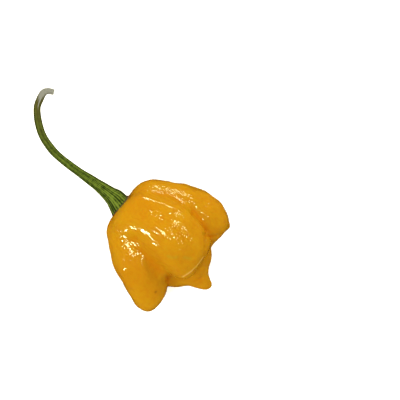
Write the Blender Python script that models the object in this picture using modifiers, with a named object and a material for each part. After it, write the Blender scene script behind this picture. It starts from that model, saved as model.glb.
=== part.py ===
"""A yellow fatalii pepper lying on its side, with the green stalk and calyx that it was picked with.

Metres, +Z up. The origin is the middle of the small flat spot that the pod rests on. +X runs from the
calyx to the blossom end, so the stalk lies towards -X, and +Y is to the left of someone looking along +X.
"""

import math

import bmesh
import bpy
from mathutils import Matrix, Vector

MM = 0.001

# Where the stalk meets the pod, from the middle of the rest spot.
JUNCTION = Vector((-21.6, -2.1, 15.6)) * MM

# The pod grows as lobes that start together under the calyx and part towards the blossom end.
# Each row of stations is (along X, across Y, up Z, radius), in millimetres from the junction.
LOBES = {
    "crown": [
        (7.8, 9.0, 1.0, 8.6),
        (7.6, 6.0, 5.4, 7.8),
        (7.8, -0.2, 5.2, 7.6),
        (5.7, -4.3, 0.6, 5.5),
        (9.2, -3.0, -4.2, 8.2),
        (9.0, 2.5, -5.6, 8.6),
        (8.8, 7.4, -3.6, 8.8),
        (7.8, 9.0, 1.0, 8.6),
    ],
    "core": [(10, 3, 0, 11), (15, 4, 0, 13.6), (21, 3.6, -1, 13)],
    "upper_left": [
        (9, 1.4, 4.8, 7.9),
        (15, 2.3, 6.8, 7.6),
        (21, 2.6, 7.2, 7.6),
        (26.6, 2.5, 5.6, 7.3),
        (29.8, 1.5, 4.4, 5.9),
        (32.2, 0.7, 3.8, 3.9),
    ],
    "upper_middle": [(9, 3.6, 5.0, 8.6), (15, 4.8, 6.9, 8.8), (21.5, 5.0, 7.4, 8.7), (28.0, 4.8, 5.4, 7.4)],
    "upper_right": [(9, 6.5, 4.6, 8.6), (15, 8.8, 6.6, 8.4), (21, 9, 7.0, 8.3), (27, 8.3, 5.2, 7.7)],
    "shoulder": [(7.6, 9.6, 2.2, 8.6), (9.8, 12.8, 2.4, 6.9), (14.5, 16.4, 2.4, 6.5), (19, 17.2, 1.6, 7.4)],
    "left": [
        (8.4, -6.0, 1.4, 7.0),
        (14, -8.2, 1.8, 8.0),
        (20, -11.0, 0.4, 8.2),
        (27.4, -14.0, -2.8, 7.3),
        (30.0, -16.0, -3.8, 6.0),
    ],
    "left_low": [(10, -4, -4, 8), (16, -7.6, -5.4, 8.4), (22, -10.6, -7, 7.8), (27.2, -13, -8.2, 6.6)],
    "left_web": [(12, -4.2, 1.2, 8.0), (18, -5.4, 0.8, 7.8), (23, -7.4, -0.6, 7.0)],
    "right": [(7.4, 9.2, 1, 8.7), (15.5, 14.8, 0, 9.0), (22, 17.2, -1, 9.4), (25.6, 17.4, -2, 8.8)],
    "right_low": [(9, 7.5, -4, 8.2), (16, 12.4, -5, 8.8), (22, 14.8, -6, 8.2), (26, 15.6, -6.2, 7.2)],
    "right_end": [(23, 13, -2, 9), (25.8, 13.4, -3, 8.0)],
    "under_middle": [(14, 3, -6.2, 9), (22, 3, -7.2, 9)],
    "under_left": [(10, 0, -4.6, 8.8), (17, -1, -6.8, 9.6), (24, -1.6, -7.6, 9), (29.4, -1.4, -7.6, 8)],
    "under_right": [(11, 5.6, -4.6, 9), (18, 7, -6.6, 9.2), (24, 7, -7, 9), (30.4, 5.6, -6.6, 7.9)],
}
# Short points at the blossom end, on the lobe underneath and on the right one.
NUBS = {
    "under_tip": [(31.4, 0.6, -7.2, 7.4), (33.4, 2.4, -7.2, 6.9), (36.8, 1.8, -8, 4.9), (41.6, 1.9, -9, 2.7)],
    "right_tip": [(27, 19.2, -2.6, 5.6), (31.6, 21.5, -3, 2.4)],
}
# The rows are balls, spaced by this share of their radius, and then fused into one skin.
BALL_STEP = 0.25
BALL_SUBDIVISIONS = 3
VOXEL = 0.5 * MM

# The lobes run together at the crown and keep their furrows at the blossom end.
CROWN_START = 4
CROWN_END = 26
CROWN_SOFTENING = 50
SOFTENING = 16

# Broad shallow hollows all over the skin.
HOLLOW_DEPTH = 0.9 * MM
HOLLOW_WIDTH = 7 * MM

POD_TRIANGLES = 6500

# The stalk's stations in the same form, from the middle of the calyx to the cut end.
STALK = [
    (3.0, -0.1, 0.0, 4.7),
    (0.6, 0.0, 0.1, 4.4),
    (-1.6, 0.3, 0.3, 3.85),
    (-3.5, 0.45, 0.6, 3.5),
    (-5.5, 0.25, 1.0, 2.93),
    (-7.7, 0.03, 1.4, 2.5),
    (-9.9, -0.25, 1.8, 2.2),
    (-11.8, -0.55, 2.2, 1.97),
    (-15.0, -1.1, 2.8, 1.75),
    (-18.4, -1.75, 3.3, 1.5),
    (-23.6, -2.55, 3.9, 1.43),
    (-27.7, -3.0, 4.2, 1.38),
    (-31.6, -3.0, 4.2, 1.42),
    (-37.2, -2.0, 3.0, 1.35),
    (-42.0, 0.3, 1.2, 1.33),
    (-46.1, 3.5, -0.6, 1.22),
    (-47.8, 6.5, -1.8, 1.3),
    (-48.6, 9.2, -2.4, 1.24),
    (-47.9, 10.75, -2.8, 1.12),
    (-46.1, 12.0, -3.0, 1.02),
]
STALK_STEP = 0.9

# Ribs run along the stalk and the calyx, high and low by turns. Heights are shares of the radius.
RIBS = 10
RIB_HEIGHT = 0.0375
RIB_DIFFERENCE = 0.0125
RIB_POINTS = 4

# Between the calyx and the skin under it.
GAP = 0.3 * MM

# Points closer than this are one point.
WELD = 0.01 * MM

TABLE_SIZE = 120 * MM

# Colours in linear light.
POD_COLOUR = (0.67, 0.29, 0.01)
POD_ROUGHNESS = 0.3
STALK_COLOUR = (0.10, 0.13, 0.02)
STALK_ROUGHNESS = 0.6


def along(stations, step):
    """Points on a smooth curve through the stations, about one every step of a radius."""
    rows = [Vector(station) for station in stations]
    rows = [2 * rows[0] - rows[1], *rows, 2 * rows[-1] - rows[-2]]
    for before, start, end, after in zip(rows, rows[1:], rows[2:], rows[3:]):
        gap = (end - start).xyz.length
        count = max(2, math.ceil(gap / (step * min(start.w, end.w))))
        for i in range(count):
            t = i / count
            yield 0.5 * (
                2 * start
                + (end - before) * t
                + (2 * before - 5 * start + 4 * end - after) * t**2
                + (3 * start - before - 3 * end + after) * t**3
            )
    yield rows[-2]


def clear_scene():
    for obj in list(bpy.data.objects):
        bpy.data.objects.remove(obj)


def new_collection(name):
    collection = bpy.data.collections.new(name)
    bpy.context.scene.collection.children.link(collection)
    return collection


def new_object(name, mesh, collection):
    obj = bpy.data.objects.new(name, mesh)
    collection.objects.link(obj)
    return obj


def give_finish(obj, name, colour, roughness):
    material = bpy.data.materials.new(name)
    material.use_nodes = True
    shader = material.node_tree.nodes["Principled BSDF"]
    shader.inputs["Base Color"].default_value = (*colour, 1)
    shader.inputs["Roughness"].default_value = roughness
    obj.data.materials.clear()
    obj.data.materials.append(material)


def evaluated_mesh(obj):
    """The object's mesh as its modifiers leave it."""
    graph = bpy.context.evaluated_depsgraph_get()
    return bpy.data.meshes.new_from_object(obj.evaluated_get(graph))


def row_of_balls(bm, stations):
    for x, y, z, radius in along(stations, BALL_STEP):
        place = Matrix.Translation(JUNCTION + Vector((x, y, z)) * MM)
        bmesh.ops.create_icosphere(bm, subdivisions=BALL_SUBDIVISIONS, radius=radius * MM, matrix=place)


def fused_lobes(collection):
    """All the rows of balls as one skin."""
    mesh = bpy.data.meshes.new("lobes")
    bm = bmesh.new()
    for stations in [*LOBES.values(), *NUBS.values()]:
        row_of_balls(bm, stations)
    bm.to_mesh(mesh)
    bm.free()
    lobes = new_object("lobes", mesh, collection)
    fuse = lobes.modifiers.new("fuse", "REMESH")
    fuse.mode = "VOXEL"
    fuse.voxel_size = VOXEL
    skin = evaluated_mesh(lobes)
    bpy.data.objects.remove(lobes)
    return skin


def soften(obj, name, iterations, group=""):
    modifier = obj.modifiers.new(name, "SMOOTH")
    modifier.factor = 0.5
    modifier.iterations = iterations
    modifier.vertex_group = group


def weight_crown(obj):
    crown = obj.vertex_groups.new(name="crown")
    for vertex in obj.data.vertices:
        x = (vertex.co - JUNCTION).x / MM
        weight = min(1, max(0, (CROWN_END - x) / (CROWN_END - CROWN_START)))
        crown.add([vertex.index], weight, "REPLACE")


def hollow(obj):
    clouds = bpy.data.textures.new("hollows", "CLOUDS")
    clouds.noise_scale = HOLLOW_WIDTH
    clouds.noise_depth = 1
    modifier = obj.modifiers.new("hollows", "DISPLACE")
    modifier.texture = clouds
    modifier.texture_coords = "LOCAL"
    modifier.strength = HOLLOW_DEPTH
    modifier.mid_level = 0.5


def thin_out(obj, triangles):
    modifier = obj.modifiers.new("thin_out", "DECIMATE")
    modifier.ratio = triangles / sum(len(face.vertices) - 2 for face in obj.data.polygons)


def cut(obj, cutter):
    modifier = obj.modifiers.new("cut_" + cutter.name, "BOOLEAN")
    modifier.operation = "DIFFERENCE"
    modifier.solver = "EXACT"
    modifier.object = cutter


def make_table(collection):
    """A block whose top is the ground, to leave the pod a flat spot to rest on."""
    mesh = bpy.data.meshes.new("table")
    bm = bmesh.new()
    place = Matrix.Translation(Vector((0, 0, -0.5 * TABLE_SIZE)))
    bmesh.ops.create_cube(bm, size=TABLE_SIZE, matrix=place)
    bm.to_mesh(mesh)
    bm.free()
    return new_object("table", mesh, collection)


def make_pod(collection, table):
    pod = new_object("pod", fused_lobes(collection), collection)
    weight_crown(pod)
    soften(pod, "ease_crown", CROWN_SOFTENING, "crown")
    soften(pod, "soften", SOFTENING)
    hollow(pod)
    thin_out(pod, POD_TRIANGLES)
    cut(pod, table)
    return pod


def make_seat(pod, collection):
    """The pod's own shape, fatter by the gap, to hollow the calyx where it sits on the crown."""
    mesh = evaluated_mesh(pod)
    bm = bmesh.new()
    bm.from_mesh(mesh)
    bm.normal_update()
    for vertex in bm.verts:
        vertex.co += vertex.normal * GAP
    bm.to_mesh(mesh)
    bm.free()
    return new_object("seat", mesh, collection)


def rib_profile(collection):
    """A section of radius 1 with its ribs."""
    curve = bpy.data.curves.new("rib_profile", "CURVE")
    count = RIBS * RIB_POINTS
    spline = curve.splines.new("POLY")
    spline.points.add(count - 1)
    spline.use_cyclic_u = True
    for i, point in enumerate(spline.points):
        angle = math.tau * i / count
        rib = RIB_HEIGHT * (math.cos(RIBS * angle) - 1)
        difference = RIB_DIFFERENCE * (math.cos(0.5 * RIBS * angle) - 1)
        radius = 1 + rib + difference
        point.co = (radius * math.cos(angle), radius * math.sin(angle), 0, 1)
    return new_object("rib_profile", curve, collection)


def make_stalk(collection, seat):
    curve = bpy.data.curves.new("stalk_path", "CURVE")
    curve.dimensions = "3D"
    profile = rib_profile(collection)
    curve.bevel_mode = "OBJECT"
    curve.bevel_object = profile
    curve.use_fill_caps = True
    stations = list(along(STALK, STALK_STEP))
    spline = curve.splines.new("POLY")
    spline.points.add(len(stations) - 1)
    for point, (x, y, z, radius) in zip(spline.points, stations):
        point.co = (*(JUNCTION + Vector((x, y, z)) * MM), 1)
        point.radius = radius * MM
    path = new_object("stalk_path", curve, collection)
    mesh = evaluated_mesh(path)
    bpy.data.objects.remove(path)
    bpy.data.objects.remove(profile)
    bm = bmesh.new()
    bm.from_mesh(mesh)
    bmesh.ops.remove_doubles(bm, verts=bm.verts, dist=WELD)
    bmesh.ops.recalc_face_normals(bm, faces=bm.faces)
    bm.to_mesh(mesh)
    bm.free()
    stalk = new_object("stalk", mesh, collection)
    cut(stalk, seat)
    return stalk


clear_scene()
pepper = new_collection("fatalii_pepper")
cutters = new_collection("cutters")
table = make_table(cutters)
pod = make_pod(pepper, table)
seat = make_seat(pod, cutters)
stalk = make_stalk(pepper, seat)
for cutter in cutters.objects:
    cutter.hide_render = True
    cutter.display_type = "WIRE"
give_finish(pod, "waxy_yellow_skin", POD_COLOUR, POD_ROUGHNESS)
give_finish(stalk, "green_stalk", STALK_COLOUR, STALK_ROUGHNESS)
for piece in (pod, stalk):
    piece.data.shade_smooth()
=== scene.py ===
# A yellow fatalii pepper lying on its side, with the green stalk and calyx that it was picked with.
# Metres, +Z up. The pod rests on z = 0, its blossom end points to +X and the stalk curls away to -X.

import math

import bmesh
import bpy
from mathutils import Matrix, Vector
from mathutils.bvhtree import BVHTree


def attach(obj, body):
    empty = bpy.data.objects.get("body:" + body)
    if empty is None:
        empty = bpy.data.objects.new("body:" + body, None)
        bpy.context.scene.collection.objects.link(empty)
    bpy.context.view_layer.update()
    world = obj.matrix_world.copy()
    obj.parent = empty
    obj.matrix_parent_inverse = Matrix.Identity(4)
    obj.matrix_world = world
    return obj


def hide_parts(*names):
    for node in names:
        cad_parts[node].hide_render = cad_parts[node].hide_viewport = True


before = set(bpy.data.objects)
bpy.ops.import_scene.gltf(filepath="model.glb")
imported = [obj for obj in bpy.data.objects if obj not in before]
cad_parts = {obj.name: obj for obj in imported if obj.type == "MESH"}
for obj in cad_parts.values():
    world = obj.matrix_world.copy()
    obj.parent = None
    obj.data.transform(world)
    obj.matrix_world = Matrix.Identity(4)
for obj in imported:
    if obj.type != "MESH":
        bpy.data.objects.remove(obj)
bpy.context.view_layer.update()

mm = 0.001
noiseMiddle = 0.5  # noise runs from 0 to 1
calyxSpot = Vector((-21.6, -2.1, 15.6)) * mm  # where the stalk meets the pod


def fromCalyx(x, y, z=0.0):
    # millimetres along the pod, across it and up, counted from the calyx
    return calyxSpot + Vector((x, y, z)) * mm


def linearColour(hexCode):
    # sRGB hex to the linear light that the shaders work in
    channels = [int(hexCode[i:i + 2], 16) / 255 for i in (1, 3, 5)]
    channels = [c / 12.92 if c <= 0.04045 else ((c + 0.055) / 1.055) ** 2.4 for c in channels]
    return (*channels, 1.0)


def addNode(tree, kind, inputs=None, **settings):
    # inputs may be plain values, sockets, or whole nodes, whose first live output is then used
    node = tree.nodes.new(kind)
    for name, value in settings.items():
        setattr(node, name, value)
    for name, value in (inputs or {}).items():
        live = [s for s in node.inputs if s.enabled]
        socket = live[name] if isinstance(name, int) else next(s for s in live if s.name == name)
        if isinstance(value, bpy.types.Node):
            value = next(s for s in value.outputs if s.enabled)
        if isinstance(value, bpy.types.NodeSocket):
            tree.links.new(value, socket)
        else:
            socket.default_value = value
    return node


def newMaterial(name):
    # a bare material, its tree, and the object coordinates that its patterns read
    material = bpy.data.materials.new(name)
    material.use_nodes = True
    tree = material.node_tree
    tree.nodes.clear()
    return material, tree, addNode(tree, "ShaderNodeTexCoord").outputs["Object"]


def newTree(name, sockets):
    tree = bpy.data.node_groups.new(name, "GeometryNodeTree")
    tree.interface.new_socket("Geometry", in_out="OUTPUT", socket_type="NodeSocketGeometry")
    tree.interface.new_socket("Geometry", in_out="INPUT", socket_type="NodeSocketGeometry")
    for label, kind in sockets.items():
        tree.interface.new_socket(label, in_out="INPUT", socket_type="NodeSocket" + kind)
    return tree, addNode(tree, "NodeGroupInput").outputs


def closeTree(tree, geometry, material):
    # every tree ends in real geometry with its material on it
    real = addNode(tree, "GeometryNodeRealizeInstances", {"Geometry": geometry})
    finished = addNode(tree, "GeometryNodeSetMaterial", {"Geometry": real, "Material": material})
    addNode(tree, "NodeGroupOutput", {"Geometry": finished})
    return tree


def newObject(name, data):
    obj = bpy.data.objects.new(name, data)
    bpy.context.scene.collection.objects.link(obj)
    return obj


def settled(obj, name):
    # what the modifiers leave, as a plain mesh object
    graph = bpy.context.evaluated_depsgraph_get()
    mesh = bpy.data.meshes.new_from_object(
        obj.evaluated_get(graph), preserve_all_data_layers=True, depsgraph=graph
    )
    mesh.name = name
    bpy.data.objects.remove(obj)
    return newObject(name, mesh)


def grown(obj, tree, values, name):
    # the tree's inputs are set by identifier before anything is evaluated
    modifier = obj.modifiers.new(tree.name, "NODES")
    modifier.node_group = tree
    for item in tree.interface.items_tree:
        if item.in_out == "INPUT" and item.name in values:
            modifier[item.identifier] = values[item.name]
    return settled(obj, name)


def curveObject(name, lines, closed=False):
    # each line is a list of (place, radius)
    curve = bpy.data.curves.new(name, "CURVE")
    curve.dimensions = "3D"
    for line in lines:
        spline = curve.splines.new("POLY")
        spline.points.add(len(line) - 1)
        spline.use_cyclic_u = closed
        for point, (place, radius) in zip(spline.points, line):
            point.co = (*place, 1)
            point.radius = radius
    return newObject(name, curve)


# Materials. Widths and depths are in millimetres. A span is where a colour or a roughness begins and is full.

skinFinish = {
    # ripe Capsicum skin, grown: a thin waxy cuticle over juicy flesh, so tight glints over a deep warm colour
    "ground": "#a8730c",
    "golden": "#aa7b0e",
    "goldenSpan": (0.4, 0.7),
    "deep": "#a5680a",
    "deepSpan": (0.45, 0.75),
    "deepShare": 0.55,
    # painted shade in the furrows, laid on by how far the skin lies below its neighbourhood
    "furrow": "#a85f02",
    # painted highlight: the pale line along the edge of the main lobe's end
    "lip": "#d8b468",
    "pock": "#7e500a",
    # painted shade: soft dark blotches near the main lobe's end
    "smudge": "#94801c",
    "markShares": {"pock": 0.9, "smudge": 0.45, "lip": 0.4},
    "patchWidth": 9.0,
    "mottleWidth": 1.6,
    "poreWidth": 0.55,  # the real grain is finer, and wouldn't show at this size
    "poreDepth": 0.035,
    "roughness": (0.08, 0.13),
    "roughnessSpan": (0.3, 0.7),
    "ior": 1.45,
    "shine": 0.62,
    "glintTint": "#e4ffda",  # faintly yellow-green, which keeps the glints cream
    "flesh": 0.26,
    "fleshDepth": 1.6,
    "fleshSpread": (1.0, 0.45, 0.1),  # red light goes furthest through the flesh
}


def waxyPepperSkin():
    look = skinFinish
    material, tree, place = newMaterial("waxy_pepper_skin")
    noises = {}
    for name, detail in (("patch", 2.0), ("mottle", 3.0), ("pore", 2.0)):
        noises[name] = addNode(tree, "ShaderNodeTexNoise", {
            "Vector": place, "Scale": 1 / (look[name + "Width"] * mm), "Detail": detail})
    toGolden = addNode(tree, "ShaderNodeMapRange", {
        "Value": noises["patch"], "From Min": look["goldenSpan"][0], "From Max": look["goldenSpan"][1]})
    toDeep = addNode(tree, "ShaderNodeMapRange", {
        "Value": noises["mottle"], "From Min": look["deepSpan"][0], "From Max": look["deepSpan"][1],
        "To Max": look["deepShare"]})
    # the furrow colour is painted shade: it follows how far the skin lies below its neighbourhood
    hollow = addNode(tree, "ShaderNodeAttribute", attribute_name="hollow").outputs["Fac"]
    layers = [("golden", toGolden), ("deep", toDeep), ("furrow", hollow)]
    # the pock's brown is the skin's own colour; the other two marks are painted shade and a painted highlight
    for mark, share in look["markShares"].items():
        drawn = addNode(tree, "ShaderNodeAttribute", attribute_name=mark).outputs["Fac"]
        layers.append((mark, addNode(tree, "ShaderNodeMath", {0: drawn, 1: share}, operation="MULTIPLY")))
    colour = linearColour(look["ground"])
    for shade, amount in layers:
        colour = addNode(tree, "ShaderNodeMix", {
            "Factor": amount, "A": colour, "B": linearColour(look[shade])}, data_type="RGBA")
    roughness = addNode(tree, "ShaderNodeMapRange", {
        "Value": noises["mottle"], "From Min": look["roughnessSpan"][0], "From Max": look["roughnessSpan"][1],
        "To Min": look["roughness"][0], "To Max": look["roughness"][1]})
    bump = addNode(tree, "ShaderNodeBump", {
        "Height": noises["pore"], "Strength": 1.0, "Distance": look["poreDepth"] * mm})
    shader = addNode(tree, "ShaderNodeBsdfPrincipled", {
        "Base Color": colour,
        "Roughness": roughness,
        "Normal": bump,
        "IOR": look["ior"],
        "Specular IOR Level": look["shine"],
        "Specular Tint": linearColour(look["glintTint"]),
        "Subsurface Weight": look["flesh"],
        "Subsurface Radius": look["fleshSpread"],
        "Subsurface Scale": look["fleshDepth"] * mm,
    })
    addNode(tree, "ShaderNodeOutputMaterial", {"Surface": shader.outputs["BSDF"]})
    return material


stalkFinish = {
    # fresh stalk and calyx, grown: a soft matt rind with paler ribs, drying to grey straw at the picked end
    "rib": "#5f7125",
    "ground": "#203003",
    "groove": "#101902",
    "ribSpan": (0.35, 1.25),
    "groundAt": 0.5,  # between groove and rib
    "paintedSideShade": 0.7,  # painted shade: lighter on top and a deeper green down its sides, by how the rind faces
    "sideSpan": (0.9, 0.2),
    "stalkShade": 0.22,  # the stalk is deeper in colour than the calyx
    "stalkSpan": (0.1, 0.35),
    "drying": "#433f1a",
    "dryingSpan": (0.52, 0.92),
    "straw": "#75766f",
    "strawSpan": (0.88, 0.915),
    "mottleWidth": 1.2,
    "roughness": 0.6,
    "ior": 1.45,
    "shine": 0.05,
    "flesh": 0.05,
    "fleshDepth": 0.5,
    "fleshSpread": (0.6, 1.0, 0.2),
}


def freshStalkRind():
    look = stalkFinish
    material, tree, place = newMaterial("fresh_stalk_rind")
    mottle = addNode(tree, "ShaderNodeTexNoise", {
        "Vector": place, "Scale": 1 / (look["mottleWidth"] * mm), "Detail": 4.0})
    ribs = addNode(tree, "ShaderNodeAttribute", attribute_name="ribLift").outputs["Fac"]
    along = addNode(tree, "ShaderNodeAttribute", attribute_name="dryness").outputs["Fac"]
    normal = addNode(tree, "ShaderNodeNewGeometry").outputs["Normal"]
    upward = addNode(tree, "ShaderNodeSeparateXYZ", {0: normal}).outputs["Z"]
    lift = addNode(tree, "ShaderNodeMath", {0: ribs, 1: mottle}, operation="ADD")
    toRib = addNode(tree, "ShaderNodeMapRange", {
        "Value": lift, "From Min": look["ribSpan"][0], "From Max": look["ribSpan"][1]})
    shades = addNode(tree, "ShaderNodeValToRGB", {"Fac": toRib})
    ramp = shades.color_ramp
    ramp.elements[0].color = linearColour(look["groove"])
    ramp.elements[1].color = linearColour(look["rib"])
    ramp.elements.new(look["groundAt"]).color = linearColour(look["ground"])
    colour = shades.outputs["Color"]
    # the first mix is painted shade, darker where the rind faces sideways; the others are its own colour
    # along the stalk
    for shade, value, span, share in (
            ("groove", upward, "sideSpan", look["paintedSideShade"]),
            ("groove", along, "stalkSpan", look["stalkShade"]),
            ("drying", along, "dryingSpan", 1.0),
            ("straw", along, "strawSpan", 1.0)):
        amount = addNode(tree, "ShaderNodeMapRange", {
            "Value": value, "From Min": look[span][0], "From Max": look[span][1], "To Max": share})
        colour = addNode(tree, "ShaderNodeMix", {
            "Factor": amount, "A": colour, "B": linearColour(look[shade])}, data_type="RGBA")
    shader = addNode(tree, "ShaderNodeBsdfPrincipled", {
        "Base Color": colour,
        "Roughness": look["roughness"],
        "IOR": look["ior"],
        "Specular IOR Level": look["shine"],
        "Subsurface Weight": look["flesh"],
        "Subsurface Radius": look["fleshSpread"],
        "Subsurface Scale": look["fleshDepth"] * mm,
    })
    addNode(tree, "ShaderNodeOutputMaterial", {"Surface": shader.outputs["BSDF"]})
    return material


edgeFinish = {
    # withered edge of the calyx, dried on the plant: papery, brown, no shine
    "dark": "#1c1506",
    "light": "#574824",
    "mottleWidth": 0.5,
    "roughness": 0.8,
}


def driedScrap():
    look = edgeFinish
    material, tree, place = newMaterial("dried_calyx_edge")
    mottle = addNode(tree, "ShaderNodeTexNoise", {
        "Vector": place, "Scale": 1 / (look["mottleWidth"] * mm), "Detail": 3.0})
    colour = addNode(tree, "ShaderNodeMix", {
        "Factor": mottle, "A": linearColour(look["dark"]), "B": linearColour(look["light"])},
        data_type="RGBA")
    shader = addNode(tree, "ShaderNodeBsdfPrincipled", {
        "Base Color": colour, "Roughness": look["roughness"]})
    addNode(tree, "ShaderNodeOutputMaterial", {"Surface": shader.outputs["BSDF"]})
    return material


pepperSkin = waxyPepperSkin()
stalkRind = freshStalkRind()
calyxEdge = driedScrap()
print("materials ready")


# Pod, in millimetres

podShape = {
    "weld": 0.002,  # points this close are one
    "grain": 0.284,  # spacing of the skin's points
    "easing": 0.5,
    "easingRounds": 22,  # enough to clear the source's facets
    "fanLength": 25.0,  # the long streaks spread from a point this far behind the calyx
    "fanMiddle": 1.6,  # and have their stated width at this many fan lengths from it
    "streakWidth": 1.3,
    "streakLength": 8.0,
    "streakHeight": 0.22,
    "pillowWidth": 8.0,
    "pillowHeight": 0.3,
    "dimpleWidth": 0.8,
    "dimpleHeight": 0.09,
    "seed": 3.7,
    "restHeight": 1.5,  # the relief dies out below this
    "hollowSteps": 40,
    "hollowFull": 0.35,  # how far below its neighbourhood the skin has its full painted furrow shade
    "planHeight": 40,  # the lines are laid on the skin from this far above the calyx
}

# Lines on the skin, as (x, y) from the calyx, with the width and height that each sort has.
# A line with a third number, up, runs beside the skin. The others are laid on it from above.
skinLines = {
    "Valley": {"width": 2.4, "height": -0.22, "lines": [  # between the main lobe and the right one
        [(0.6, 8.0), (3.7, 11.3), (8.0, 14.4), (12.9, 16.2), (18.7, 16.6)],
    ]},
    "Furrow": {"width": 1.9, "height": -0.6, "lines": [
        [(20.5, 16.8), (24.0, 16.9), (28.0, 16.0), (30.6, 14.0), (32.2, 11.8)],
    ]},
    "Crease": {"width": 0.8, "height": -0.32, "lines": [
        [(28.4, 14.2), (30.6, 15.2), (32.6, 17.2), (33.2, 18.6)],
        [(38.2, 0.4), (38.8, 1.2), (39.0, 2.2)],
    ]},
    "Ridge": {"width": 1.8, "height": 0.2, "lines": [
        [(9.5, 0.0), (11.6, -0.3), (15.0, -0.1), (19.2, 0.1), (22.0, 0.2)],
        [(15.6, -15.2), (17.2, -15.0)],
        [(14.6, 3.6), (16.3, 4.4), (18.9, 4.6), (21.0, 5.2)],
        [(17.6, 5.4), (18.8, 5.9), (22.0, 6.3), (26.2, 6.5), (28.0, 6.8)],
        [(2.8, 7.2), (5.6, 8.6), (8.9, 10.2), (10.8, 11.5), (13.0, 12.4)],
        [(17.8, 10.7), (18.2, 8.6), (18.0, 7.6)],
        [(2.4, 13.0), (6.2, 15.6), (9.0, 17.0), (12.6, 18.6), (16.6, 19.9)],
        [(4.6, -6.1), (8.2, -7.8), (13.6, -7.6), (16.9, -7.6), (23.5, -10.6), (26.3, -14.4)],
    ]},
    # a low ridge along the lip at the main lobe's end, and the mask for its painted highlight
    "Lip": {"width": 0.4, "height": 0.16, "lines": [
        [(33.8, -2.0), (34.5, 1.0), (34.5, 4.6), (33.9, 8.0)],
    ]},
    "Crumple": {"width": 2.4, "height": 0.5, "lines": [  # rough patches
        [(3.6, -6.2), (7.5, -7.6), (11.4, -8.6), (15.0, -9.0)],
        [(2.8, 12.6), (6.4, 15.6), (10.4, 17.8), (15.6, 19.4)],
        [(17.0, 11.6), (18.2, 8.6), (20.0, 6.4), (24.5, 6.2)],
        [(9.0, 7.0), (12.0, 8.0)],
        [(21.5, 9.0), (25.0, 10.0)],
    ]},
    "Pock": {"width": 0.42, "height": -0.12, "lines": [  # the small brown one on the left lobe
        [(30.8, -12.9), (30.85, -12.7)],
    ]},
    "Tuck": {"width": 3.4, "height": -0.8, "lines": [  # where a lobe is drawn in at its end
        [(34.4, 18.4, -2.2), (34.4, 16.6, -2.6)],
        [(35.8, -15.8, -3.8), (35.4, -14.0, -4.2)],
    ]},
    "Pinch": {"width": 2.2, "height": -0.5, "lines": [  # narrower, elsewhere along the outline
        [(38.0, 7.0, -8.0), (40.0, 5.6, -8.5), (41.6, 4.4, -9.0)],
        [(33.8, 12.8, -5.0), (36.8, 9.6, -7.0)],
        [(20.6, -19.4, -0.4), (22.6, -20.1, -1.0), (25.0, -21.0, -1.8)],
        [(14.1, 23.8, 1.0), (17.6, 25.0, 0.3), (20.7, 26.2, -0.5)],
        [(5.4, 18.1, 1.5), (8.4, 20.0, 1.5)],
    ]},
    "Smudge": {"width": 0.7, "height": 0.0, "lines": [  # painted shade in soft dark blotches, colour only
        [(24.8, -0.4), (26.4, 0.4), (27.2, 1.6)],
        [(29.2, 3.4), (31.0, 4.6)],
    ]},
}


def rounded(points, rounds=2):
    for _ in range(rounds):
        cuts = [p.lerp(q, t) for p, q in zip(points, points[1:]) for t in (0.25, 0.75)]
        points = [points[0], *cuts, points[-1]]
    return points


def evenSkin():
    # the CAD pod's own form, with its loose triangles joined, evened out and freed of facets
    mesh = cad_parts["pod"].data.copy()
    bm = bmesh.new()
    bm.from_mesh(mesh)
    bmesh.ops.remove_doubles(bm, verts=bm.verts, dist=podShape["weld"] * mm)
    bm.to_mesh(mesh)
    bm.free()
    skin = newObject("even_skin", mesh)
    even = skin.modifiers.new("even", "REMESH")
    even.mode = "VOXEL"
    even.voxel_size = podShape["grain"] * mm
    ease = skin.modifiers.new("ease", "SMOOTH")
    ease.factor = podShape["easing"]
    ease.iterations = podShape["easingRounds"]
    return settled(skin, "even_skin")


def drawOnSkin(name, lines, skinHull):
    drawn = []
    for line in lines:
        if len(line[0]) == 3:
            places = rounded([fromCalyx(*spot) for spot in line])
        else:
            plan = rounded([fromCalyx(x, y, podShape["planHeight"]) for x, y in line])
            places = [skinHull.ray_cast(place, Vector((0, 0, -1)))[0] for place in plan]
        drawn.append([(place, 1.0) for place in places if place])
    return curveObject(name, drawn)


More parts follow.
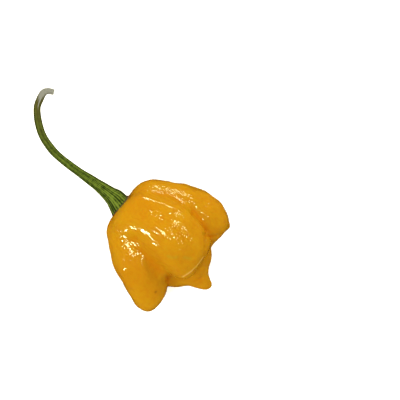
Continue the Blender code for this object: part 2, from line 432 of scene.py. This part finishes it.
def skinReliefTree():
    sockets = {
        "Calyx": "Vector", "Fan Length": "Float", "Fan Middle": "Float",
        "Streak Width": "Float", "Streak Length": "Float", "Streak Height": "Float",
        "Pillow Width": "Float", "Pillow Height": "Float",
        "Dimple Width": "Float", "Dimple Height": "Float",
        "Rest Height": "Float", "Hollow Steps": "Int", "Hollow Full": "Float",
        "Seed": "Float", "Material": "Material",
    }
    for sort in skinLines:
        sockets |= {sort + " Lines": "Object", sort + " Width": "Float", sort + " Height": "Float"}
    tree, given = newTree("skin_relief", sockets)
    position = addNode(tree, "GeometryNodeInputPosition")
    fromTop = addNode(tree, "ShaderNodeVectorMath", {0: position, 1: given["Calyx"]}, operation="SUBTRACT")
    parts = addNode(tree, "ShaderNodeSeparateXYZ", {0: fromTop}).outputs
    reach = addNode(tree, "ShaderNodeMath", {0: parts["X"], 1: given["Fan Length"]}, operation="ADD")
    # streaks: noise drawn out along lines that fan from behind the calyx
    spread = addNode(tree, "ShaderNodeMath", {
        0: addNode(tree, "ShaderNodeMath", {
            0: given["Fan Length"], 1: given["Fan Middle"]}, operation="MULTIPLY"),
        1: addNode(tree, "ShaderNodeMath", {0: reach, 1: given["Streak Width"]}, operation="MULTIPLY")},
        operation="DIVIDE")
    cells = addNode(tree, "ShaderNodeCombineXYZ", {
        "X": addNode(tree, "ShaderNodeMath", {0: parts["X"], 1: given["Streak Length"]}, operation="DIVIDE"),
        "Y": addNode(tree, "ShaderNodeMath", {0: parts["Y"], 1: spread}, operation="MULTIPLY"),
        "Z": addNode(tree, "ShaderNodeMath", {0: parts["Z"], 1: spread}, operation="MULTIPLY")})
    lift = 0.0
    for sort in ("Streak", "Pillow", "Dimple"):
        fineness = addNode(tree, "ShaderNodeMath", {0: 1.0, 1: given[sort + " Width"]}, operation="DIVIDE")
        noise = addNode(tree, "ShaderNodeTexNoise", {
            "Vector": cells if sort == "Streak" else fromTop, "W": given["Seed"],
            "Scale": 1.0 if sort == "Streak" else fineness, "Detail": 1.0}, noise_dimensions="4D")
        centred = addNode(tree, "ShaderNodeMath", {0: noise, 1: noiseMiddle}, operation="SUBTRACT")
        lift = addNode(tree, "ShaderNodeMath", {
            0: centred, 1: given[sort + " Height"], 2: lift}, operation="MULTIPLY_ADD")
    # the drawn lines: a soft swell or dip on both sides of each
    nearby = {}
    for sort in skinLines:
        drawn = addNode(tree, "GeometryNodeObjectInfo", {"Object": given[sort + " Lines"]})
        edges = addNode(tree, "GeometryNodeCurveToMesh", {"Curve": drawn.outputs["Geometry"]})
        away = addNode(tree, "GeometryNodeProximity", {0: edges}, target_element="EDGES").outputs["Distance"]
        share = addNode(tree, "ShaderNodeMath", {0: away, 1: given[sort + " Width"]}, operation="DIVIDE")
        square = addNode(tree, "ShaderNodeMath", {0: share, 1: share}, operation="MULTIPLY")
        rise = nearby[sort] = addNode(tree, "ShaderNodeMath", {
            0: addNode(tree, "ShaderNodeMath", {0: square, 1: -1.0}, operation="MULTIPLY")},
            operation="EXPONENT")
        if sort == "Crumple":  # stronger dimples, not a swell
            rise = addNode(tree, "ShaderNodeMath", {0: rise, 1: centred}, operation="MULTIPLY")
        lift = addNode(tree, "ShaderNodeMath", {
            0: rise, 1: given[sort + " Height"], 2: lift}, operation="MULTIPLY_ADD")
    # nothing moves where the pod rests
    height = addNode(tree, "ShaderNodeSeparateXYZ", {0: position}).outputs["Z"]
    free = addNode(tree, "ShaderNodeMapRange", {
        "Value": height, "From Min": 0.0, "From Max": given["Rest Height"]}, interpolation_type="SMOOTHSTEP")
    lift = addNode(tree, "ShaderNodeMath", {0: lift, 1: free}, operation="MULTIPLY")
    normal = addNode(tree, "GeometryNodeInputNormal")
    offset = addNode(tree, "ShaderNodeVectorMath", {0: normal, "Scale": lift}, operation="SCALE")
    moved = addNode(tree, "GeometryNodeSetPosition", {"Geometry": given["Geometry"], "Offset": offset})
    # how far a point lies below its neighbourhood, for the painted shade in the furrows
    around = addNode(tree, "GeometryNodeBlurAttribute", {
        "Value": position, "Iterations": given["Hollow Steps"]}, data_type="FLOAT_VECTOR")
    below = addNode(tree, "ShaderNodeVectorMath", {0: around, 1: position}, operation="SUBTRACT")
    depth = addNode(tree, "ShaderNodeVectorMath", {0: below, 1: normal}, operation="DOT_PRODUCT")
    hollow = addNode(tree, "ShaderNodeMapRange", {"Value": depth, "From Max": given["Hollow Full"]})
    kept = addNode(tree, "GeometryNodeStoreNamedAttribute", {
        "Geometry": moved, "Name": "hollow", "Value": hollow}, data_type="FLOAT", domain="POINT")
    # the pock's brown is the skin's own colour; the other two marks are painted shade and a painted highlight
    for sort in ("Pock", "Smudge", "Lip"):
        kept = addNode(tree, "GeometryNodeStoreNamedAttribute", {
            "Geometry": kept, "Name": sort.lower(), "Value": nearby[sort]}, data_type="FLOAT", domain="POINT")
    return closeTree(tree, kept, given["Material"])


def makePodSkin():
    look = podShape
    base = evenSkin()
    skinHull = BVHTree.FromObject(base, bpy.context.evaluated_depsgraph_get())
    values = {
        "Calyx": calyxSpot, "Fan Length": look["fanLength"] * mm, "Fan Middle": look["fanMiddle"],
        "Rest Height": look["restHeight"] * mm, "Hollow Steps": look["hollowSteps"],
        "Hollow Full": look["hollowFull"] * mm, "Seed": look["seed"], "Material": pepperSkin,
    }
    for sort in ("Streak", "Pillow", "Dimple"):
        values[sort + " Width"] = look[sort.lower() + "Width"] * mm
        values[sort + " Height"] = look[sort.lower() + "Height"] * mm
    values["Streak Length"] = look["streakLength"] * mm
    drawings = []
    for sort, rows in skinLines.items():
        drawing = drawOnSkin(sort + "_lines", rows["lines"], skinHull)
        drawings.append(drawing)
        values |= {sort + " Lines": drawing, sort + " Width": rows["width"] * mm,
                   sort + " Height": rows["height"] * mm}
    skin = grown(base, skinReliefTree(), values, "pod_skin")
    for drawing in drawings:
        bpy.data.objects.remove(drawing)
    skin.data.shade_smooth()
    return skin


podSkin = makePodSkin()
print("pod skin:", len(podSkin.data.polygons), "faces")


# Stalk and calyx

stalkShape = {
    # (along the pod, across, up, radius) in millimetres from the calyx, from inside the pod to the picked end
    "stations": [
        (3.0, -0.1, 0.0, 4.6), (0.6, 0.0, 0.1, 4.3), (-1.6, 0.3, 0.3, 3.75), (-3.5, 0.45, 0.6, 3.4),
        (-5.5, 0.25, 1.0, 2.84), (-7.7, 0.03, 1.4, 2.43), (-9.9, -0.25, 1.8, 2.15), (-11.8, -0.55, 2.2, 1.94),
        (-15.0, -1.1, 2.8, 1.75), (-18.4, -1.75, 3.3, 1.5), (-23.6, -2.55, 3.9, 1.43),
        (-27.7, -3.0, 4.2, 1.38), (-31.6, -3.0, 4.2, 1.42), (-37.2, -2.0, 3.0, 1.35), (-42.0, 0.3, 1.2, 1.33),
        (-46.1, 3.5, -0.6, 1.22), (-47.8, 6.5, -1.8, 1.3), (-48.6, 9.2, -2.4, 1.24),
        (-47.9, 10.75, -2.8, 1.12), (-46.1, 12.0, -3.0, 1.02),
    ],
    "step": 0.35,
    "sectionPoints": 132,
    "ribs": 22,
    "ribSharpness": 2.0,
    "edges": 6,  # the stalk is faintly angular
    # height as a share of the radius, the part of it that lies under the bare form, and how far it lightens
    "relief": {
        "Rib": {"height": 0.04, "under": 0.3, "lighter": 0.45},
        "Edge": {"height": 0.07, "under": 0.4, "lighter": 0.3},
        "Line": {"height": 0.03, "under": 0.4, "lighter": 0.6},
    },
    "bareShade": -0.1,
    "noiseLength": 14.0,  # of the whole stalk, where the section's radius is 1
    "wander": 2.5,  # ribs and edges drift by at most this many radians of their own wave
    "wanderScale": 0.8,
    "lineStretch": (7.0, 7.0, 1.0),
    "dryStretch": (2.2, 2.2, 0.25),
    "dryUnevenness": 0.42,
    "seed": 1.3,
}


def stalkTree():
    look = stalkShape
    tree, given = newTree("ribbed_stalk", {
        "Step": "Float", "Section Points": "Int", "Ribs": "Int", "Rib Height": "Float",
        "Edges": "Int", "Edge Height": "Float", "Line Height": "Float",
        "Dry Unevenness": "Float", "Seed": "Float", "Material": "Material",
    })
    smoothPath = addNode(tree, "GeometryNodeCurveSplineType", {
        "Curve": given["Geometry"]}, spline_type="CATMULL_ROM")
    path = addNode(tree, "GeometryNodeResampleCurve", {"Curve": smoothPath}, mode="LENGTH")
    tree.links.new(given["Step"], path.inputs["Length"])
    position = addNode(tree, "GeometryNodeInputPosition").outputs[0]
    keepPath = addNode(tree, "GeometryNodeCaptureAttribute", {"Geometry": path}, domain="POINT")
    keepPath.capture_items.new("VECTOR", "Centre")
    keepPath.capture_items.new("FLOAT", "Along")
    tree.links.new(position, keepPath.inputs["Centre"])
    tree.links.new(addNode(tree, "GeometryNodeSplineParameter").outputs["Factor"], keepPath.inputs["Along"])
    circle = addNode(tree, "GeometryNodeCurvePrimitiveCircle", {
        "Resolution": given["Section Points"], "Radius": 1.0})
    keepCircle = addNode(tree, "GeometryNodeCaptureAttribute", {"Geometry": circle}, domain="POINT")
    keepCircle.capture_items.new("VECTOR", "Around")
    tree.links.new(position, keepCircle.inputs["Around"])
    sweep = addNode(tree, "GeometryNodeCurveToMesh", {
        "Curve": keepPath.outputs["Geometry"], "Profile Curve": keepCircle.outputs["Geometry"],
        "Scale": addNode(tree, "GeometryNodeInputRadius"), "Fill Caps": True})
    centre, along = keepPath.outputs["Centre"], keepPath.outputs["Along"]
    around = keepCircle.outputs["Around"]
    ring = addNode(tree, "ShaderNodeSeparateXYZ", {0: around}).outputs
    angle = addNode(tree, "ShaderNodeMath", {0: ring["Y"], 1: ring["X"]}, operation="ARCTAN2")
    # ribs and edges that wander a little as they run
    length = addNode(tree, "ShaderNodeMath", {0: along, 1: look["noiseLength"]}, operation="MULTIPLY")
    ringPlace = addNode(tree, "ShaderNodeCombineXYZ", {"X": ring["X"], "Y": ring["Y"], "Z": length})
    wander = addNode(tree, "ShaderNodeTexNoise", {
        "Vector": ringPlace, "W": given["Seed"], "Scale": look["wanderScale"], "Detail": 1.0},
        noise_dimensions="4D")
    drift = addNode(tree, "ShaderNodeMath", {0: wander, 1: look["wander"]}, operation="MULTIPLY")
    waves = {}
    for sort in ("Ribs", "Edges"):
        turn = addNode(tree, "ShaderNodeMath", {0: angle, 1: given[sort], 2: drift}, operation="MULTIPLY_ADD")
        waves[sort] = addNode(tree, "ShaderNodeMath", {0: turn}, operation="COSINE")
    swell = addNode(tree, "ShaderNodeMapRange", {"Value": waves["Ribs"], "From Min": -1.0, "From Max": 1.0})
    rib = addNode(tree, "ShaderNodeMath", {0: swell, 1: look["ribSharpness"]}, operation="POWER")
    edge = addNode(tree, "ShaderNodeMapRange", {"Value": waves["Edges"], "From Min": 1.0, "From Max": -1.0})
    # fine lines, and the noise that lets it dry further down some sides than others
    noises = {}
    for name, detail in (("line", 2.0), ("dry", 1.0)):
        stretched = addNode(tree, "ShaderNodeVectorMath", {
            0: ringPlace, 1: look[name + "Stretch"]}, operation="MULTIPLY")
        noises[name] = addNode(tree, "ShaderNodeTexNoise", {
            "Vector": stretched, "W": given["Seed"], "Scale": 1.0, "Detail": detail}, noise_dimensions="4D")
    heights = 0.0
    lift = look["bareShade"]
    for sort, relief in (("Rib", rib), ("Edge", edge), ("Line", noises["line"])):
        share = look["relief"][sort]
        raised = addNode(tree, "ShaderNodeMath", {0: relief, 1: share["under"]}, operation="SUBTRACT")
        heights = addNode(tree, "ShaderNodeMath", {
            0: raised, 1: given[sort + " Height"], 2: heights}, operation="MULTIPLY_ADD")
        lift = addNode(tree, "ShaderNodeMath", {
            0: relief, 1: share["lighter"], 2: lift}, operation="MULTIPLY_ADD")
    scale = addNode(tree, "ShaderNodeMath", {0: heights, 1: 1.0}, operation="ADD")
    out = addNode(tree, "ShaderNodeVectorMath", {0: position, 1: centre}, operation="SUBTRACT")
    scaled = addNode(tree, "ShaderNodeVectorMath", {0: out, "Scale": scale}, operation="SCALE")
    place = addNode(tree, "ShaderNodeVectorMath", {0: scaled, 1: centre}, operation="ADD")
    ribbed = addNode(tree, "GeometryNodeSetPosition", {"Geometry": sweep, "Position": place})
    uneven = addNode(tree, "ShaderNodeMath", {0: noises["dry"], 1: noiseMiddle}, operation="SUBTRACT")
    dryness = addNode(tree, "ShaderNodeMath", {
        0: uneven, 1: given["Dry Unevenness"], 2: along}, operation="MULTIPLY_ADD")
    kept = ribbed
    for name, value in (("ribLift", lift), ("dryness", dryness)):
        kept = addNode(tree, "GeometryNodeStoreNamedAttribute", {
            "Geometry": kept, "Name": name, "Value": value}, data_type="FLOAT", domain="POINT")
    return closeTree(tree, kept, given["Material"])


def makeStalk():
    look = stalkShape
    path = curveObject("stalk_path", [[(fromCalyx(x, y, z), r * mm) for x, y, z, r in look["stations"]]])
    values = {
        "Step": look["step"] * mm, "Section Points": look["sectionPoints"], "Ribs": look["ribs"],
        "Edges": look["edges"], "Dry Unevenness": look["dryUnevenness"], "Seed": look["seed"],
        "Material": stalkRind,
    }
    for sort, share in look["relief"].items():
        values[sort + " Height"] = share["height"]
    return grown(path, stalkTree(), values, "stalk_and_calyx")


stalkPiece = makeStalk()
print("stalk and calyx:", len(stalkPiece.data.polygons), "faces")


# Dried edge of the calyx, in millimetres

calyxRim = {
    "points": 96,  # around the line where the calyx meets the skin
    "calyxStations": 4,  # of the stalk's, from inside the pod
    "standOff": 0.3,  # a share of the width
    "cordPoints": 220,
    "cordSides": 8,
    "width": 0.26,
    "unevenness": 0.5,
    "waver": 0.35,
    "waverCells": 1500.0,  # to the metre, so each is about 0.7 mm
    "noiseGain": 4.0,  # noise keeps near its middle, so it is stretched
    "scraps": 17,
    "scrapCuts": (6, 3, 2),
    "scrapLength": 1.2,
    "scrapWidth": 0.7,
    "scrapThickness": 0.09,
    "scrapTaper": -0.65,
    "curl": 0.35,
    "curlPower": 2.0,
    "swing": ((-0.2, -0.6, -1.4), (0.2, 0.1, 1.4)),
    "size": ((0.1, 0.4, 0.8), (1.1, 1.5, 1.2)),
    "seed": 5,
}


def whereCalyxMeetsSkin():
    # follow the calyx's side from the stalk into the pod and keep the first place that touches the skin
    look = calyxRim
    skinHull = BVHTree.FromObject(podSkin, bpy.context.evaluated_depsgraph_get())
    stations = stalkShape["stations"][:look["calyxStations"]][::-1]
    ring = []
    for i in range(look["points"]):
        angle = math.tau * i / look["points"]
        side = [fromCalyx(x, y + r * math.cos(angle), z + r * math.sin(angle)) for x, y, z, r in stations]
        for start, end in zip(side, side[1:]):
            hit, normal, _, _ = skinHull.ray_cast(start, (end - start).normalized(), (end - start).length)
            if hit:
                ring.append((hit + normal * look["width"] * look["standOff"] * mm, 1.0))
                break
    return ring


def driedRimTree():
    look = calyxRim
    tree, given = newTree("dried_rim", {
        "Skin": "Object", "Calyx": "Vector", "Width": "Float", "Unevenness": "Float", "Waver": "Float",
        "Scraps": "Int", "Scrap Length": "Float", "Scrap Width": "Float", "Scrap Thickness": "Float",
        "Curl": "Float", "Seed": "Int", "Material": "Material",
    })
    position = addNode(tree, "GeometryNodeInputPosition")
    line = addNode(tree, "GeometryNodeResampleCurve", {
        "Curve": given["Geometry"], "Count": look["cordPoints"]}, mode="COUNT")
    # a cord of uneven width that wavers along the line
    noise = addNode(tree, "ShaderNodeTexNoise", {
        "Vector": position, "Scale": look["waverCells"], "Detail": 2.0})
    push = addNode(tree, "ShaderNodeVectorMath", {
        0: noise.outputs["Color"], 1: (noiseMiddle, noiseMiddle, noiseMiddle)}, operation="SUBTRACT")
    reach = addNode(tree, "ShaderNodeMath", {0: given["Width"], 1: given["Waver"]}, operation="MULTIPLY")
    stretch = addNode(tree, "ShaderNodeMath", {0: reach, 1: look["noiseGain"]}, operation="MULTIPLY")
    offset = addNode(tree, "ShaderNodeVectorMath", {0: push, "Scale": stretch}, operation="SCALE")
    wavering = addNode(tree, "GeometryNodeSetPosition", {"Geometry": line, "Offset": offset})
    centred = addNode(tree, "ShaderNodeMath", {0: noise, 1: noiseMiddle}, operation="SUBTRACT")
    gain = addNode(tree, "ShaderNodeMath", {
        0: given["Unevenness"], 1: look["noiseGain"]}, operation="MULTIPLY")
    bulge = addNode(tree, "ShaderNodeMath", {0: centred, 1: gain, 2: 1.0}, operation="MULTIPLY_ADD")
    radius = addNode(tree, "ShaderNodeMath", {0: bulge, 1: given["Width"]}, operation="MULTIPLY")
    profile = addNode(tree, "GeometryNodeCurvePrimitiveCircle", {
        "Resolution": look["cordSides"], "Radius": 1.0})
    cord = addNode(tree, "GeometryNodeCurveToMesh", {
        "Curve": wavering, "Profile Curve": profile, "Scale": radius})
    # one scrap: a thin tapering tongue that curls up at its tip
    cuts = {"Vertices " + axis: count for axis, count in zip("XYZ", look["scrapCuts"])}
    tongue = addNode(tree, "GeometryNodeMeshCube", {"Size": (1.0, 1.0, 1.0), **cuts})
    parts = addNode(tree, "ShaderNodeSeparateXYZ", {0: position}).outputs
    outward = addNode(tree, "ShaderNodeMath", {0: parts["X"], 1: 0.5}, operation="ADD")
    taper = addNode(tree, "ShaderNodeMath", {
        0: outward, 1: look["scrapTaper"], 2: 1.0}, operation="MULTIPLY_ADD")
    tapered = addNode(tree, "ShaderNodeMath", {0: parts["Y"], 1: taper}, operation="MULTIPLY")
    bend = addNode(tree, "ShaderNodeMath", {0: outward, 1: look["curlPower"]}, operation="POWER")
    rise = addNode(tree, "ShaderNodeMath", {0: bend, 1: given["Curl"]}, operation="MULTIPLY")
    shaped = addNode(tree, "ShaderNodeCombineXYZ", {
        "X": addNode(tree, "ShaderNodeMath", {0: outward, 1: given["Scrap Length"]}, operation="MULTIPLY"),
        "Y": addNode(tree, "ShaderNodeMath", {0: tapered, 1: given["Scrap Width"]}, operation="MULTIPLY"),
        "Z": addNode(tree, "ShaderNodeMath", {
            0: parts["Z"], 1: given["Scrap Thickness"], 2: rise}, operation="MULTIPLY_ADD")})
    scrap = addNode(tree, "GeometryNodeSetPosition", {
        "Geometry": tongue.outputs["Mesh"], "Position": shaped})
    # scraps lie on the skin and point away from the stalk
    places = addNode(tree, "GeometryNodeCurveToPoints", {
        "Curve": line, "Count": given["Scraps"]}, mode="COUNT")
    skin = addNode(tree, "GeometryNodeObjectInfo", {"Object": given["Skin"]}).outputs["Geometry"]
    upright = addNode(tree, "GeometryNodeSampleNearestSurface", {
        "Mesh": skin, "Value": addNode(tree, "GeometryNodeInputNormal")}, data_type="FLOAT_VECTOR")
    away = addNode(tree, "ShaderNodeVectorMath", {0: position, 1: given["Calyx"]}, operation="SUBTRACT")
    onSkin = addNode(tree, "FunctionNodeAlignRotationToVector", {"Vector": upright}, axis="Z")
    pointed = addNode(tree, "FunctionNodeAlignRotationToVector", {
        "Rotation": onSkin, "Vector": away}, axis="X", pivot_axis="Z")
    random = {}
    for name in ("swing", "size"):
        random[name] = addNode(tree, "FunctionNodeRandomValue", {
            "Min": look[name][0], "Max": look[name][1], "Seed": given["Seed"]}, data_type="FLOAT_VECTOR")
    turned = addNode(tree, "FunctionNodeRotateRotation", {
        "Rotation": pointed, "Rotate By": random["swing"]}, rotation_space="LOCAL")
    scraps = addNode(tree, "GeometryNodeInstanceOnPoints", {
        "Points": places.outputs["Points"], "Instance": scrap, "Rotation": turned, "Scale": random["size"]})
    both = addNode(tree, "GeometryNodeJoinGeometry")
    tree.links.new(cord.outputs["Mesh"], both.inputs["Geometry"])
    tree.links.new(scraps.outputs["Instances"], both.inputs["Geometry"])
    return closeTree(tree, both, given["Material"])


def makeRim():
    look = calyxRim
    ring = curveObject("rim_line", [whereCalyxMeetsSkin()], closed=True)
    return grown(ring, driedRimTree(), {
        "Skin": podSkin, "Calyx": calyxSpot, "Width": look["width"] * mm, "Unevenness": look["unevenness"],
        "Waver": look["waver"], "Scraps": look["scraps"], "Scrap Length": look["scrapLength"] * mm,
        "Scrap Width": look["scrapWidth"] * mm, "Scrap Thickness": look["scrapThickness"] * mm,
        "Curl": look["curl"] * mm, "Seed": look["seed"], "Material": calyxEdge,
    }, "dried_calyx_rim")


rimPiece = makeRim()
print("calyx rim:", len(rimPiece.data.polygons), "faces")


# Floor, light and camera

studio = {
    "floor": "#f2f2f0",
    "floorSize": 6.0,
    "floorCells": 4,
    "floorGap": 0.05,  # below the flat spot, so that the two never share a plane
    "floorRoughness": 0.9,
    "floorGlow": 0.4,  # a light table, so the shadows stay faint
    "world": 0.6,
    "lamp": "#fff8de",
    "lampTarget": (0, 0, 16),  # in millimetres, as the camera's place is
    # turn in the plan and height above the floor in degrees, distance, width and height in metres, watts
    "lights": {
        "upper_strip": (127, 30, 1.0, 0.45, 0.03, 2.4),
        "upper_softbox": (132, 23, 1.0, 0.11, 0.13, 1.8),
        "far_strip": (108, 23, 1.0, 0.27, 0.05, 2.0),
        "left_softbox": (260, 29, 1.0, 0.13, 0.05, 4.2),
        "side_strip": (231, 65, 1.0, 0.10, 0.04, 1.8),
        "side_softbox": (256, 73, 1.0, 0.18, 0.06, 3.4),
        "top_softbox": (87, 68, 1.0, 0.17, 0.08, 3.0),
        "right_softbox": (24, 59, 1.0, 0.06, 0.12, 1.8),
    },
    "cameraPlace": (-2.9, 19.65, 1016),
    "cameraTurn": 45,  # the pod's long side runs along the picture's falling diagonal
    "lens": 250,
    "sensor": 36,
}


def makeFloor():
    mesh = bpy.data.meshes.new("floor")
    bm = bmesh.new()
    bmesh.ops.create_grid(
        bm, x_segments=studio["floorCells"], y_segments=studio["floorCells"],
        size=0.5 * studio["floorSize"], matrix=Matrix.Translation((0, 0, -studio["floorGap"] * mm)))
    bm.to_mesh(mesh)
    bm.free()
    material = bpy.data.materials.new("matt_white_card")
    material.use_nodes = True
    shader = material.node_tree.nodes["Principled BSDF"]
    shader.inputs["Base Color"].default_value = linearColour(studio["floor"])
    shader.inputs["Roughness"].default_value = studio["floorRoughness"]
    shader.inputs["Emission Color"].default_value = (1, 1, 1, 1)
    shader.inputs["Emission Strength"].default_value = studio["floorGlow"]
    mesh.materials.append(material)
    return newObject("floor", mesh)


def lightStudio():
    world = bpy.data.worlds.new("studio")
    bpy.context.scene.world = world
    world.use_nodes = True
    world.node_tree.nodes["Background"].inputs["Color"].default_value = (1, 1, 1, 1)
    world.node_tree.nodes["Background"].inputs["Strength"].default_value = studio["world"]
    world.cycles_visibility.glossy = False  # fills the shadows without a grey veil on the skin
    target = Vector(studio["lampTarget"]) * mm
    for name, (turn, lift, distance, width, height, watts) in studio["lights"].items():
        lamp = bpy.data.lights.new(name, "AREA")
        lamp.shape = "RECTANGLE"
        lamp.size = width
        lamp.size_y = height
        lamp.energy = watts
        lamp.color = linearColour(studio["lamp"])[:3]
        turn, lift = math.radians(turn), math.radians(lift)
        way = Vector((math.cos(turn) * math.cos(lift), math.sin(turn) * math.cos(lift), math.sin(lift)))
        obj = newObject(name, lamp)
        obj.location = target + way * distance
        obj.rotation_euler = way.to_track_quat("Z", "Y").to_euler()


def placeCamera():
    # looks straight down
    lens = bpy.data.cameras.new("overhead")
    lens.sensor_width = studio["sensor"]
    lens.lens = studio["lens"]
    camera = newObject("overhead", lens)
    camera.location = Vector(studio["cameraPlace"]) * mm
    camera.rotation_euler = (0, 0, math.radians(studio["cameraTurn"]))
    bpy.context.scene.camera = camera


floor = makeFloor()
floor.visible_glossy = False  # no white line along the outline from the card below
lightStudio()
placeCamera()
bpy.context.scene.view_settings.view_transform = "Standard"  # keeps the yellow clean
print("studio ready")

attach(podSkin, "root")
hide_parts("pod")
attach(stalkPiece, "root")
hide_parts("stalk")
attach(rimPiece, "root")
